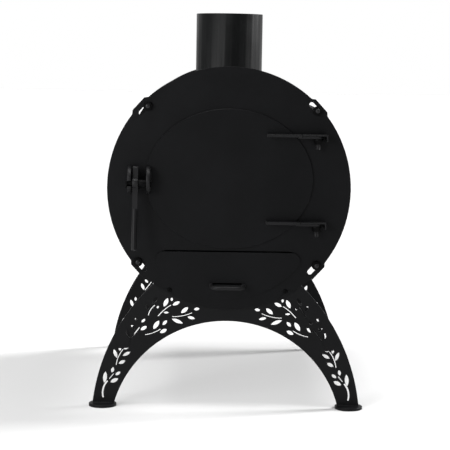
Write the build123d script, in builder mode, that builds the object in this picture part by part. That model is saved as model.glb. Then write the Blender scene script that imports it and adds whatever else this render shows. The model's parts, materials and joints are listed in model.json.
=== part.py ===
from build123d import *

import math
import os

# Garden chiminea: a steel drum stove lying on its side between two round end plates, on two
# arched leg frames with leaf cut-outs, with an oval fire door, an ash drawer below it and a
# flue spigot on top.
#
# Millimetres. +Z is up, the door faces -Y, and the origin is on the ground below the middle of
# the whole object. Heights named ..._Z and sketches on face planes count from the drum's axis,
# and depths count back from the front plate's front face.

# ---------------------------------------------------------------- driving dimensions

AXIS_HEIGHT = 493.0  # drum axis above the ground
DRUM_R = 250.0
DRUM_WALL = 3.0
DRUM_LENGTH = 700.0
PLATE_R = 270.0  # round end plates
PLATE_T = 5.0
BACK = DRUM_LENGTH + 2 * PLATE_T  # depth of the rear plate's rear face

# Lugs on the end plates, with a slot each for a tie rod. Each has its own angle, its slot's
# angle and radius, and the angle of its rod, which stands near one end of the slot.
LUGS = (
    (42.9, 44.1, 260.0, 42.4),
    (137.5, 137.4, 256.0, 135.05),
    (222.5, 221.9, 259.5, 219.55),
    (317.5, 317.3, 258.5, 319.6),
)
LUG_FLAT_R = 274.5
LUG_HALF_FLAT = 19.0
LUG_HALF_BASE = 26.0
LUG_ROOT = 20.0  # lug length that runs into the plate
SLOT_LENGTH = 33.0
SLOT_WIDTH = 11.5
ROD_R = 5.0  # M10
ROD_END = 13.0  # rod end beyond the plates

# Flue spigot, for a standard 150 mm flue.
FLUE_R = 81.0
FLUE_WALL = 4.0
FLUE_DEPTH = 405.0
FLUE_TOP_Z = 395.0
COLLAR_R = 86.0  # ring round the spigot's foot
COLLAR_TOP_Z = 254.5
COLLAR_CHAMFER = 1.5

# Leg frames: the overlap of two large discs, less the arch and the drum.
LEG_T = 5.0
LEG_EDGE_R = 447.0
LEG_EDGE_X = 144.4
LEG_EDGE_Z = -537.0
ARCH_R = 261.3
ARCH_Z = -558.2
SADDLE_R = DRUM_R + 1.0
LEG_BOLT_X = 129.0
LEG_BOLT_Z = -227.3
LEG_BOLT_R = 3.0  # M6
LEG_HOLE_R = 3.3
PAD_R = 31.0
PAD_T = 6.0
PAD_X = 277.0
PAD_RIM_R = 1.5

# Fire door and its opening, both oval.
DOOR_Z = 22.3
DOOR_HALF_WIDTH = 185.5
DOOR_HALF_HEIGHT = 155.3
DOOR_T = 4.0
DOOR_GAP = 1.0  # behind the door
DOOR_LAP = 12.5  # door edge beyond the opening
DOOR_CHAMFER = 0.6

# Hinges, on one vertical axis in front of the plate.
HINGE_X = 194.0
HINGE_STAND = 18.0  # axis in front of the front plate
HINGE_TOPS = {"upper": 124.0, "lower": -69.0}
STRAP_LEFT_X = 83.0
STRAP_HALF_DEPTH = 13.0
STRAP_T = 6.0
TONGUE_T = 5.2
TONGUE_HALF_DEPTH = 10.0
TONGUE_DROP = 3.3  # tongue top below the strap top
BRACKET_T = 3.0
BRACKET_R = 37.0
BRACKET_FOLD = 15.0
BRACKET_RIGHT = 21.0
BRACKET_FOLD_R = 2.5
BRACKET_GAP = 1.5  # between the bracket's round edge and the strap bar
TONGUE_ROOT = 6.0  # tongue length that runs into the strap bar
STUD_R = 5.0
STUD_CLEARANCE = 0.08
STUD_END = 12.0  # stud end below its nut
HINGE_WASHER_T = 4.0
HINGE_PLAY = 0.3  # tongue above its washer

# Latch: a lever on a cross pin between an open keeper on the plate and an ear on the door.
PIN_STAND = 34.0
PIN_Z = 12.5
PIN_R = 5.0
EAR_T = 8.0
EAR_R = 30.0
EAR_STAND = 17.0  # middle of the ear's round nose
EAR_Z = 18.5
KEEPER_X = -215.0  # right faces of the keeper, the lever and the ear
LEVER_X = -200.0
DOOR_EAR_X = -173.8
LEVER_WIDTH = 11.5
LEVER_DEPTH = 10.0
LEVER_TAIL = 33.0
LEVER_LEAN = 15.0  # degrees, bottom outwards
GRIP_START = 58.0  # along the lever from the pin
GRIP_LENGTH = 90.0
GRIP_R = 6.0
GRIP_CHAMFER = 1.0
GROOVES = (0.68, 0.9)  # shares of the grip's length
GROOVE_R = 1.6
GROOVE_OUT = 0.6  # groove centre beyond the grip's surface
LEVER_BOSS_R = 12.0
SPACER_R = 8.5
EAR_CLEARANCE = 0.06
LATCH_PLAY = 0.3
CAM_LENGTH = 12.0  # flat cam on the pin, inside the keeper's slot
CAM_SLOT = 12.4
PIN_HEAD_R = 10.0
PIN_HEAD_T = 3.5
PIN_HEAD_GAP = 0.8  # head left of the keeper
PIN_HEAD_CHAMFER = 1.0
PIN_COLLAR_R = 7.0
PIN_COLLAR_T = 3.0

# Ash drawer: an arc closed by a level top edge. Its front lies over the plate's opening, which
# shows a little above it.
DRAWER_ARC_Z = -45.0
DRAWER_R = 200.0
DRAWER_TOP_Z = -140.5
DRAWER_CORNER_R = 18.0
DRAWER_OPENING_CORNER_R = 20.0
DRAWER_T = 4.0
DRAWER_GAP = 1.0  # behind the drawer's front
DRAWER_LAP = 4.0  # front beyond the opening, at its arc
DRAWER_TOP_GAP = 2.5
TRAY_R = 194.0
TRAY_WALL = 2.0
TRAY_TOP_Z = -168.0
TRAY_LENGTH = 520.0
RUNNER_R = 4.5
RUNNER_GAP = 0.3
HANDLE_Z = -216.0
HANDLE_HALF = 36.0
HANDLE_REACH = 42.0
HANDLE_R = 4.25
HANDLE_BEND_R = 14.0
AIR_SLOT_Z = -211.5
AIR_SLOT_LENGTH = 70.0
AIR_SLOT_WIDTH = 4.0

# Fire grate on two side ledges.
GRATE_Z = -125.0
GRATE_T = 6.0
GRATE_WIDTH = 380.0
GRATE_LENGTH = 560.0
GRATE_DEPTH = 330.0  # depth of its middle
GRATE_CORNER_R = 8.0
GRATE_SLOT_LENGTH = 100.0
GRATE_SLOT_WIDTH = 13.0
GRATE_COLUMNS = 3
GRATE_COLUMN_PITCH = 118.0
GRATE_ROWS = 16
GRATE_ROW_PITCH = 34.0
LEDGE_T = 4.0
LEDGE_INNER_X = 172.0
LEDGE_OVERHANG = 20.0  # ledge beyond the grate at each end

# Fasteners: M10 for the tie rods and hinges, M6 for the legs.
M10_WASHER_R = 10.5
M10_WASHER_HOLE_R = 5.25
M10_WASHER_T = 2.0
M10_NUT_FLATS = 17.0
M10_NUT_T = 8.0
M6_WASHER_R = 6.0
M6_WASHER_HOLE_R = 3.2
M6_WASHER_T = 1.6
M6_NUT_FLATS = 10.0
M6_NUT_T = 5.0
M6_HEAD_R = 5.25
M6_HEAD_T = 3.3
M6_SOCKET_FLATS = 4.0
M6_TAIL = 3.0  # bolt end beyond its nut
CROWN_SHARE = 0.8  # of the head's height that is rounded
SOCKET_SHARE = 0.6  # of the head's height that the socket takes
END_CHAMFER = 0.8  # rod and stud ends
WASHER_CHAMFER = 0.3
NUT_CHAMFER_ANGLE = math.radians(30)

# The latch grip reaches furthest forward and the rear foot pads furthest back. The origin is
# half way between them.
LEAN = math.radians(LEVER_LEAN)
GRIP_END = GRIP_START + GRIP_LENGTH
FRONT_REACH = PIN_STAND + GRIP_END * math.sin(LEAN) + GRIP_R * math.cos(LEAN)
REAR_REACH = BACK - PLATE_T - LEG_T / 2 + PAD_R
FRONT_Y = (FRONT_REACH - REAR_REACH) / 2

# Leaf sprigs cut through the left leg. The right leg has them mirrored. Each has its stem (start,
# middle, end), the stem's width, and its leaves (x, z, length, width, direction in degrees).
SPRIGS = (
    (((-276, -474), (-277, -461), (-267, -438)), 3.6,
     ((-272, -429, 27.5, 9, 84), (-255, -412, 13.5, 7, 75))),
    (((-262, -432), (-258, -427), (-253, -421)), 2.0,
     ((-243, -420, 13.5, 7, 40), (-251, -436, 19.5, 9, 28))),
    (((-247, -400), (-243, -384), (-232, -365)), 2.0,
     ((-249, -375, 21.5, 8, 109), (-239, -363, 11, 6, 90), (-225, -362, 12.5, 5.5, 20),
      (-224, -375, 19.5, 7.5, 30), (-234, -394, 16.5, 8, 30))),
    (((-214, -338), (-205, -327), (-196, -315)), 2.0,
     ((-220, -329, 19.5, 8, 111), (-210, -314, 12, 6.5, 130), (-203, -294, 10, 5.5, 80),
      (-187, -299, 12, 5.5, 45), (-186, -316, 16.5, 8, 35))),
    (((-182, -331), (-162, -325), (-149, -318)), 2.0,
     ((-158, -308, 23.5, 9.5, 58), (-139, -303, 14.5, 7, 50), (-142, -322, 17.5, 8.5, 30))),
    (((-176, -286), (-171, -274), (-162, -264)), 1.8,
     ((-161, -251, 20.5, 8, 60), (-178, -267, 12.5, 7, 115), (-155, -268, 7, 4.5, 60))),
    (((-154, -288), (-144, -277), (-126, -263)), 2.0,
     ((-137, -257, 21.5, 9, 66), (-124, -250, 8, 5.5, 90), (-114, -259, 18.5, 8, 28),
      (-136, -280, 12, 5, 0))),
    (((-122, -289), (-100, -287), (-79, -280)), 2.0,
     ((-95, -274, 20.5, 9, 42), (-68, -271, 12.5, 7, 10), (-80, -291, 17.5, 7, -13),
      (-111, -299, 27.5, 8.5, -22))),
)

os.makedirs("parts", exist_ok=True)


# ---------------------------------------------------------------- planes and small helpers

def face_plane(depth):
    """Upright plane at a depth, drawn as seen from the front. Extrusions come forwards."""
    return Plane(origin=(0, FRONT_Y + depth, AXIS_HEIGHT), x_dir=(1, 0, 0), z_dir=(0, -1, 0))


def rear_plane(depth):
    """Upright plane at a depth, drawn as seen from behind. Extrusions go backwards."""
    return Plane(origin=(0, FRONT_Y + depth, AXIS_HEIGHT), x_dir=(-1, 0, 0), z_dir=(0, 1, 0))


def level_plane(z):
    """Level plane at a height over the drum axis, drawn in X and depth. Extrusions rise."""
    return Plane(origin=(0, FRONT_Y, AXIS_HEIGHT + z))


def side_plane(x):
    """Upright plane across X, drawn in stand-off and height. Extrusions go towards -X."""
    return Plane(origin=(x, FRONT_Y, AXIS_HEIGHT), x_dir=(0, -1, 0), z_dir=(-1, 0, 0))


def around_axis(radius, angle):
    """Place on a circle round the drum axis, its first direction pointing outwards."""
    turn = math.radians(angle)
    return Location((radius * math.cos(turn), radius * math.sin(turn), 0), (0, 0, angle))


def washer(outer_r, hole_r, thickness):
    """A flat washer standing on its origin."""
    with BuildPart() as ring:
        with BuildSketch():
            Circle(outer_r)
            Circle(hole_r, mode=Mode.SUBTRACT)
        extrude(amount=thickness)
        chamfer(ring.edges().group_by(Axis.Z)[-1].sort_by(SortBy.LENGTH)[-1:], length=WASHER_CHAMFER)
    return ring.part


def hex_nut(across_flats, thickness, hole_r):
    """A hexagon nut standing on its origin, its corners turned down at both faces."""
    corner_r = across_flats / math.sqrt(3)
    corner_drop = (corner_r - across_flats / 2) * math.tan(NUT_CHAMFER_ANGLE)
    with BuildPart() as turned:
        with BuildSketch():
            Circle(corner_r)
        extrude(amount=thickness)
        rims = turned.edges().filter_by(GeomType.CIRCLE)
        chamfer(rims, length=corner_drop, length2=corner_r - across_flats / 2)
    with BuildPart() as nut:
        with BuildSketch():
            RegularPolygon(corner_r, side_count=6)
            Circle(hole_r, mode=Mode.SUBTRACT)
        extrude(amount=thickness)
        add(turned.part, mode=Mode.INTERSECT)
    return nut.part


M10_WASHER = washer(M10_WASHER_R, M10_WASHER_HOLE_R, M10_WASHER_T)
M10_NUT = hex_nut(M10_NUT_FLATS, M10_NUT_T, ROD_R)
HINGE_WASHER = washer(M10_WASHER_R, M10_WASHER_HOLE_R, HINGE_WASHER_T)


# ---------------------------------------------------------------- drum and flue

with BuildPart() as drum_shell:
    with BuildSketch(face_plane(PLATE_T + DRUM_LENGTH)):
        Circle(DRUM_R)
        Circle(DRUM_R - DRUM_WALL, mode=Mode.SUBTRACT)
    extrude(amount=DRUM_LENGTH)
    with BuildSketch(level_plane(0)):
        with Locations((0, FLUE_DEPTH)):
            Circle(FLUE_R - FLUE_WALL)
    extrude(amount=DRUM_R + 1, mode=Mode.SUBTRACT)
drum_shell.part.label = "drum_shell"
export_step(drum_shell.part, "parts/drum_shell.step")

# The spigot and its collar are cut to a saddle that stands on the drum.
with BuildPart() as flue_spigot:
    with BuildSketch(level_plane(0)):
        with Locations((0, FLUE_DEPTH)):
            Circle(FLUE_R)
            Circle(FLUE_R - FLUE_WALL, mode=Mode.SUBTRACT)
    extrude(amount=FLUE_TOP_Z)
    with BuildSketch(level_plane(0)):
        with Locations((0, FLUE_DEPTH)):
            Circle(COLLAR_R)
            Circle(FLUE_R - FLUE_WALL, mode=Mode.SUBTRACT)
    extrude(amount=COLLAR_TOP_Z)
    collar_rim = flue_spigot.edges().filter_by(GeomType.CIRCLE).group_by(SortBy.RADIUS)[-1]
    chamfer(collar_rim.sort_by(Axis.Z)[-1], length=COLLAR_CHAMFER)
    with BuildSketch(face_plane(PLATE_T + DRUM_LENGTH)):
        Circle(DRUM_R)
    extrude(amount=DRUM_LENGTH, mode=Mode.SUBTRACT)
flue_spigot.part.label = "flue_spigot"
export_step(flue_spigot.part, "parts/flue_spigot.step")


# ---------------------------------------------------------------- end plates

def lug_outline():
    """A lug's flat-topped outline, pointing along the first direction."""
    root = LUG_FLAT_R - LUG_ROOT
    shoulder = math.sqrt(PLATE_R**2 - LUG_HALF_BASE**2)
    with BuildSketch() as lug:
        with BuildLine():
            Polyline(
                (root, -LUG_HALF_BASE),
                (shoulder, -LUG_HALF_BASE),
                (LUG_FLAT_R, -LUG_HALF_FLAT),
                (LUG_FLAT_R, LUG_HALF_FLAT),
                (shoulder, LUG_HALF_BASE),
                (root, LUG_HALF_BASE),
                close=True,
            )
        make_face()
    return lug.sketch


def plate_outline():
    """A round end plate with its four lugs, their slots and the leg bolt holes."""
    lug = lug_outline()
    with BuildSketch() as outline:
        Circle(PLATE_R)
        for lug_angle, slot_angle, slot_r, _ in LUGS:
            with Locations(around_axis(0, lug_angle)):
                add(lug)
            with Locations(around_axis(slot_r, slot_angle)):
                SlotOverall(SLOT_LENGTH, SLOT_WIDTH, rotation=90, mode=Mode.SUBTRACT)
        with Locations((-LEG_BOLT_X, LEG_BOLT_Z), (LEG_BOLT_X, LEG_BOLT_Z)):
            Circle(LEG_HOLE_R, mode=Mode.SUBTRACT)
    return outline.sketch


def drawer_outline(arc_r, top_z, corner_r):
    """The ash drawer's outline: a round bottom closed by a level top, with round corners."""
    with BuildSketch() as outline:
        with Locations((0, DRAWER_ARC_Z)):
            Circle(arc_r)
        with Locations((0, top_z)):
            Rectangle(2 * arc_r, 2 * arc_r, align=(Align.CENTER, Align.MAX), mode=Mode.INTERSECT)
        fillet(outline.vertices(), radius=corner_r)
    return outline.sketch


END_PLATE = plate_outline()

with BuildPart() as front_plate:
    with BuildSketch(face_plane(PLATE_T)):
        add(END_PLATE)
        with Locations((0, DOOR_Z)):
            Ellipse(DOOR_HALF_WIDTH - DOOR_LAP, DOOR_HALF_HEIGHT - DOOR_LAP, mode=Mode.SUBTRACT)
        add(
            drawer_outline(
                DRAWER_R - DRAWER_LAP,
                DRAWER_TOP_Z + DRAWER_TOP_GAP,
                DRAWER_OPENING_CORNER_R,
            ),
            mode=Mode.SUBTRACT,
        )
    extrude(amount=PLATE_T)
front_plate.part.label = "front_plate"
export_step(front_plate.part, "parts/front_plate.step")

with BuildPart() as rear_plate:
    with BuildSketch(face_plane(BACK)):
        add(END_PLATE)
    extrude(amount=PLATE_T)
rear_plate.part.label = "rear_plate"
export_step(rear_plate.part, "parts/rear_plate.step")


# ---------------------------------------------------------------- leg frames

def leaf_outline(length, width):
    """A leaf between two arcs, its tip along the first direction."""
    with BuildSketch() as leaf:
        with BuildLine():
            ThreePointArc((-length / 2, 0), (0, width / 2), (length / 2, 0))
            ThreePointArc((length / 2, 0), (0, -width / 2), (-length / 2, 0))
        make_face()
    return leaf.sketch


def sprig_cutouts():
    """All the leaves and stems cut through a leg frame."""
    with BuildSketch() as cutouts:
        for stem, stem_width, leaves in SPRIGS:
            SlotArc(Edge.make_three_point_arc(*stem), stem_width)
            for x, z, length, width, direction in leaves:
                with Locations((x, z)):
                    add(leaf_outline(length, width), rotation=direction)
        mirror(about=Plane.YZ)
    return cutouts.sketch


def leg_frame_outline():
    """One arched leg frame round the drum axis."""
    with BuildSketch() as outline:
        with Locations((LEG_EDGE_X, LEG_EDGE_Z)):
            Circle(LEG_EDGE_R)
        with Locations((-LEG_EDGE_X, LEG_EDGE_Z)):
            Circle(LEG_EDGE_R, mode=Mode.INTERSECT)
        with Locations((0, PAD_T - AXIS_HEIGHT)):
            Rectangle(
                2 * LEG_EDGE_R,
                AXIS_HEIGHT,
                align=(Align.CENTER, Align.MIN),
                mode=Mode.INTERSECT,
            )
        Circle(SADDLE_R, mode=Mode.SUBTRACT)
        with Locations((0, ARCH_Z)):
            Circle(ARCH_R, mode=Mode.SUBTRACT)
        with Locations((-LEG_BOLT_X, LEG_BOLT_Z), (LEG_BOLT_X, LEG_BOLT_Z)):
            Circle(LEG_HOLE_R, mode=Mode.SUBTRACT)
        add(sprig_cutouts(), mode=Mode.SUBTRACT)
    return outline.sketch


LEG_FRAME = leg_frame_outline()
# Each frame stands against the inner face of its end plate.
LEG_DEPTHS = {"front": PLATE_T + LEG_T, "rear": BACK - PLATE_T}

for end, depth in LEG_DEPTHS.items():
    with BuildPart() as leg_frame:
        with BuildSketch(face_plane(depth)):
            add(LEG_FRAME)
        extrude(amount=LEG_T)
    leg_frame.part.label = f"leg_frame_{end}"
    export_step(leg_frame.part, f"parts/leg_frame_{end}.step")

    for hand, pad_x in (("left", -PAD_X), ("right", PAD_X)):
        with BuildPart() as foot_pad:
            with BuildSketch(level_plane(-AXIS_HEIGHT)):
                with Locations((pad_x, depth - LEG_T / 2)):
                    Circle(PAD_R)
            extrude(amount=PAD_T)
            top_rim = foot_pad.edges().filter_by(GeomType.CIRCLE).sort_by(Axis.Z)[-1]
            fillet(top_rim, radius=PAD_RIM_R)
        foot_pad.part.label = f"foot_pad_{end}_{hand}"
        export_step(foot_pad.part, f"parts/foot_pad_{end}_{hand}.step")


# ---------------------------------------------------------------- tie rods

ROD_PLACES = [around_axis(slot_r, rod_angle).position for _, _, slot_r, rod_angle in LUGS]


def on_front(places, depth):
    """Places on an upright plane at a depth, facing forwards."""
    return [face_plane(depth).location * Location((p.X, p.Y, 0)) for p in places]


def on_rear(places, depth):
    """Places on an upright plane at a depth, facing backwards."""
    return [rear_plane(depth).location * Location((-p.X, p.Y, 0)) for p in places]


for number, place in enumerate(ROD_PLACES, start=1):
    with BuildPart() as tie_rod:
        with BuildSketch(face_plane(BACK + ROD_END)):
            with Locations((place.X, place.Y)):
                Circle(ROD_R)
        extrude(amount=BACK + 2 * ROD_END)
        chamfer(tie_rod.edges().filter_by(GeomType.CIRCLE), length=END_CHAMFER)
    tie_rod.part.label = f"tie_rod_{number}"
    export_step(tie_rod.part, f"parts/tie_rod_{number}.step")

with BuildPart() as tie_rod_washers:
    with Locations(*on_front(ROD_PLACES, 0), *on_rear(ROD_PLACES, BACK)):
        add(M10_WASHER)
tie_rod_washers.part.label = "tie_rod_washers"
export_step(tie_rod_washers.part, "parts/tie_rod_washers.step")

with BuildPart() as tie_rod_nuts:
    with Locations(
        *on_front(ROD_PLACES, -M10_WASHER_T), *on_rear(ROD_PLACES, BACK + M10_WASHER_T)
    ):
        add(M10_NUT)
tie_rod_nuts.part.label = "tie_rod_nuts"
export_step(tie_rod_nuts.part, "parts/tie_rod_nuts.step")


# ---------------------------------------------------------------- leg bolts

LEG_STACK = PLATE_T + LEG_T  # plate and frame clamped together
BOLT_PLACES = [Vector(-LEG_BOLT_X, LEG_BOLT_Z), Vector(LEG_BOLT_X, LEG_BOLT_Z)]


def button_bolt(head_r, head_t, shank_r, shank_length, socket_flats):
    """A button-head bolt with a hexagon socket, its head standing on its origin."""
    with BuildPart() as bolt:
        with BuildSketch():
            Circle(head_r)
        extrude(amount=head_t)
        crown = bolt.edges().filter_by(GeomType.CIRCLE).sort_by(Axis.Z)[-1]
        fillet(crown, radius=head_t * CROWN_SHARE)
        with BuildSketch():
            Circle(shank_r)
        extrude(amount=-shank_length)
        with BuildSketch(Plane.XY.offset(head_t)):
            RegularPolygon(socket_flats / math.sqrt(3), side_count=6)
        extrude(amount=-head_t * SOCKET_SHARE, mode=Mode.SUBTRACT)
    return bolt.part


LEG_BOLT = button_bolt(
    head_r=M6_HEAD_R,
    head_t=M6_HEAD_T,
    shank_r=LEG_BOLT_R,
    shank_length=LEG_STACK + M6_WASHER_T + M6_NUT_T + M6_TAIL,
    socket_flats=M6_SOCKET_FLATS,
)
M6_WASHER = washer(M6_WASHER_R, M6_WASHER_HOLE_R, M6_WASHER_T)
M6_NUT = hex_nut(M6_NUT_FLATS, M6_NUT_T, LEG_BOLT_R)

with BuildPart() as leg_bolts:
    with Locations(*on_front(BOLT_PLACES, 0), *on_rear(BOLT_PLACES, BACK)):
        add(LEG_BOLT)
leg_bolts.part.label = "leg_bolts"
export_step(leg_bolts.part, "parts/leg_bolts.step")

# Washers and nuts sit on the frames' inner faces.
NUT_SEAT = LEG_STACK + M6_WASHER_T
with BuildPart() as leg_bolt_washers:
    with Locations(*on_rear(BOLT_PLACES, LEG_STACK), *on_front(BOLT_PLACES, BACK - LEG_STACK)):
        add(M6_WASHER)
leg_bolt_washers.part.label = "leg_bolt_washers"
export_step(leg_bolt_washers.part, "parts/leg_bolt_washers.step")

with BuildPart() as leg_bolt_nuts:
    with Locations(*on_rear(BOLT_PLACES, NUT_SEAT), *on_front(BOLT_PLACES, BACK - NUT_SEAT)):
        add(M6_NUT)
leg_bolt_nuts.part.label = "leg_bolt_nuts"
export_step(leg_bolt_nuts.part, "parts/leg_bolt_nuts.step")


# ---------------------------------------------------------------- fire grate

GRATE_BACK = GRATE_DEPTH + GRATE_LENGTH / 2

# The ledges reach out to the drum's wall and carry the grate.
for hand, side in (("left", -1), ("right", 1)):
    with BuildPart() as grate_ledge:
        with BuildSketch(face_plane(GRATE_BACK + LEDGE_OVERHANG)):
            Circle(DRUM_R - DRUM_WALL)
            with Locations((side * (LEDGE_INNER_X + DRUM_R / 2), GRATE_Z - GRATE_T)):
                Rectangle(DRUM_R, LEDGE_T, align=(Align.CENTER, Align.MAX), mode=Mode.INTERSECT)
        extrude(amount=GRATE_LENGTH + 2 * LEDGE_OVERHANG)
    grate_ledge.part.label = f"grate_ledge_{hand}"
    export_step(grate_ledge.part, f"parts/grate_ledge_{hand}.step")

with BuildPart() as fire_grate:
    with BuildSketch(level_plane(GRATE_Z)):
        with Locations((0, GRATE_DEPTH)):
            RectangleRounded(GRATE_WIDTH, GRATE_LENGTH, GRATE_CORNER_R)
            with GridLocations(GRATE_COLUMN_PITCH, GRATE_ROW_PITCH, GRATE_COLUMNS, GRATE_ROWS):
                SlotOverall(GRATE_SLOT_LENGTH, GRATE_SLOT_WIDTH, mode=Mode.SUBTRACT)
    extrude(amount=-GRATE_T)
fire_grate.part.label = "fire_grate"
export_step(fire_grate.part, "parts/fire_grate.step")


# ---------------------------------------------------------------- fire door and hinges

with BuildPart() as door_plate:
    with BuildSketch(face_plane(-DOOR_GAP)):
        with Locations((0, DOOR_Z)):
            Ellipse(DOOR_HALF_WIDTH, DOOR_HALF_HEIGHT)
    extrude(amount=DOOR_T)
    chamfer(door_plate.edges().group_by(Axis.Y)[0], length=DOOR_CHAMFER)
door_plate.part.label = "door_plate"
export_step(door_plate.part, "parts/door_plate.step")

DOOR_FACE = DOOR_GAP + DOOR_T  # stand-off of the door's front face
STRAP_ROOM = BRACKET_R + BRACKET_GAP  # the strap bar ends on an arc round the bracket
STRAP_FRONT = HINGE_STAND + STRAP_HALF_DEPTH  # stand-off of its front edge
TONGUE_START_X = HINGE_X - STRAP_ROOM - TONGUE_ROOT

for level, top_z in HINGE_TOPS.items():
    # The strap is a bar on the door that drops to a tongue, which turns below the bracket.
    with BuildPart() as hinge_strap:
        with BuildSketch(level_plane(top_z)):
            with Locations((STRAP_LEFT_X, -DOOR_FACE)):
                Rectangle(
                    HINGE_X - STRAP_LEFT_X,
                    STRAP_FRONT - DOOR_FACE,
                    align=(Align.MIN, Align.MAX),
                )
            with Locations((HINGE_X, -HINGE_STAND)):
                Circle(STRAP_ROOM, mode=Mode.SUBTRACT)
        extrude(amount=-STRAP_T)
        with BuildSketch(level_plane(top_z - TONGUE_DROP)):
            with Locations((TONGUE_START_X, -HINGE_STAND)):
                Rectangle(
                    HINGE_X - TONGUE_START_X,
                    2 * TONGUE_HALF_DEPTH,
                    align=(Align.MIN, Align.CENTER),
                )
            with Locations((HINGE_X, -HINGE_STAND)):
                Circle(TONGUE_HALF_DEPTH)
                Circle(STUD_R + STUD_CLEARANCE, mode=Mode.SUBTRACT)
        extrude(amount=-TONGUE_T)
    hinge_strap.part.label = f"hinge_strap_{level}"
    export_step(hinge_strap.part, f"parts/hinge_strap_{level}.step")

    # The bracket is a folded flange on the front plate, round on the strap's side.
    bracket_right_x = HINGE_X + BRACKET_RIGHT
    with BuildPart() as hinge_bracket:
        with BuildSketch(face_plane(0)):
            with Locations((bracket_right_x, top_z)):
                Rectangle(
                    BRACKET_R + BRACKET_RIGHT,
                    BRACKET_FOLD,
                    align=(Align.MAX, Align.MAX),
                )
            with Locations((bracket_right_x - BRACKET_T, top_z - BRACKET_T)):
                Rectangle(
                    BRACKET_R + BRACKET_RIGHT,
                    BRACKET_FOLD,
                    align=(Align.MAX, Align.MAX),
                    mode=Mode.SUBTRACT,
                )
        extrude(amount=STRAP_FRONT)
        fold = hinge_bracket.edges().filter_by(Axis.Y).sort_by(Axis.Z)[-2:].sort_by(Axis.X)[-1]
        fillet(fold, radius=BRACKET_FOLD_R)
        with BuildSketch(level_plane(top_z)):
            with Locations((HINGE_X, -HINGE_STAND)):
                Circle(BRACKET_R)
        extrude(amount=-BRACKET_FOLD, mode=Mode.INTERSECT)
    hinge_bracket.part.label = f"hinge_bracket_{level}"
    export_step(hinge_bracket.part, f"parts/hinge_bracket_{level}.step")

    # Stud, washer and nut hang below the bracket and carry the strap's tongue.
    washer_top_z = top_z - TONGUE_DROP - TONGUE_T - HINGE_PLAY
    nut_top_z = washer_top_z - HINGE_WASHER_T
    stud_end_z = nut_top_z - M10_NUT_T - STUD_END
    with BuildPart() as hinge_stud:
        with BuildSketch(level_plane(top_z - BRACKET_T)):
            with Locations((HINGE_X, -HINGE_STAND)):
                Circle(STUD_R)
        extrude(amount=stud_end_z - top_z + BRACKET_T)
        chamfer(hinge_stud.edges().group_by(Axis.Z)[0], length=END_CHAMFER)
    hinge_stud.part.label = f"hinge_stud_{level}"
    export_step(hinge_stud.part, f"parts/hinge_stud_{level}.step")

    with BuildPart() as hinge_washer:
        with Locations(level_plane(nut_top_z).location * Location((HINGE_X, -HINGE_STAND, 0))):
            add(HINGE_WASHER)
    hinge_washer.part.label = f"hinge_washer_{level}"
    export_step(hinge_washer.part, f"parts/hinge_washer_{level}.step")

    nut_seat = level_plane(nut_top_z - M10_NUT_T)
    with BuildPart() as hinge_nut:
        with Locations(nut_seat.location * Location((HINGE_X, -HINGE_STAND, 0))):
            add(M10_NUT)
    hinge_nut.part.label = f"hinge_nut_{level}"
    export_step(hinge_nut.part, f"parts/hinge_nut_{level}.step")


# ---------------------------------------------------------------- latch

def ear_outline(base_stand):
    """A latch ear seen from the side: a plate on its face with a round nose."""
    with BuildSketch() as outline:
        with Locations((base_stand, EAR_Z)):
            Rectangle(EAR_STAND - base_stand, 2 * EAR_R, align=(Align.MIN, Align.CENTER))
        with Locations((EAR_STAND, EAR_Z)):
            Circle(EAR_R)
        with Locations((base_stand, EAR_Z)):
            Rectangle(3 * EAR_R, 2 * EAR_R, align=(Align.MIN, Align.CENTER), mode=Mode.INTERSECT)
    return outline.sketch


# The keeper stands on the front plate. The pin leaves it forwards when the door swings.
with BuildPart() as latch_keeper:
    with BuildSketch(side_plane(KEEPER_X)):
        add(ear_outline(0))
        with Locations((PIN_STAND, PIN_Z)):
            Circle(CAM_SLOT / 2, mode=Mode.SUBTRACT)
            Rectangle(
                2 * EAR_R,
                CAM_SLOT,
                align=(Align.MIN, Align.CENTER),
                mode=Mode.SUBTRACT,
            )
    extrude(amount=EAR_T)
latch_keeper.part.label = "latch_keeper"
export_step(latch_keeper.part, "parts/latch_keeper.step")

with BuildPart() as latch_ear:
    with BuildSketch(side_plane(DOOR_EAR_X)):
        add(ear_outline(DOOR_FACE))
        with Locations((PIN_STAND, PIN_Z)):
            Circle(PIN_R + EAR_CLEARANCE, mode=Mode.SUBTRACT)
    extrude(amount=EAR_T)
latch_ear.part.label = "latch_ear"
export_step(latch_ear.part, "parts/latch_ear.step")

PIN_HEAD_X = KEEPER_X - EAR_T - PIN_HEAD_GAP  # right face of the pin's head
PIN_END_X = DOOR_EAR_X + LATCH_PLAY + PIN_COLLAR_T
CAM_OVERHANG = 1.0  # cam beyond the keeper on each side

with BuildPart() as latch_pin:
    with BuildSketch(side_plane(PIN_END_X)):
        with Locations((PIN_STAND, PIN_Z)):
            Circle(PIN_COLLAR_R)
    extrude(amount=PIN_COLLAR_T)
    with BuildSketch(side_plane(PIN_END_X)):
        with Locations((PIN_STAND, PIN_Z)):
            Circle(PIN_R)
    extrude(amount=PIN_END_X - PIN_HEAD_X)
    with BuildSketch(side_plane(KEEPER_X + CAM_OVERHANG)):
        with Locations((PIN_STAND, PIN_Z)):
            SlotOverall(CAM_LENGTH, 2 * PIN_R, rotation=90)
    extrude(amount=EAR_T + 2 * CAM_OVERHANG)
    with BuildSketch(side_plane(PIN_HEAD_X)):
        with Locations((PIN_STAND, PIN_Z)):
            Circle(PIN_HEAD_R)
    extrude(amount=PIN_HEAD_T)
    chamfer(latch_pin.edges().group_by(Axis.X)[0], length=PIN_HEAD_CHAMFER)
latch_pin.part.label = "latch_pin"
export_step(latch_pin.part, "parts/latch_pin.step")

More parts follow.
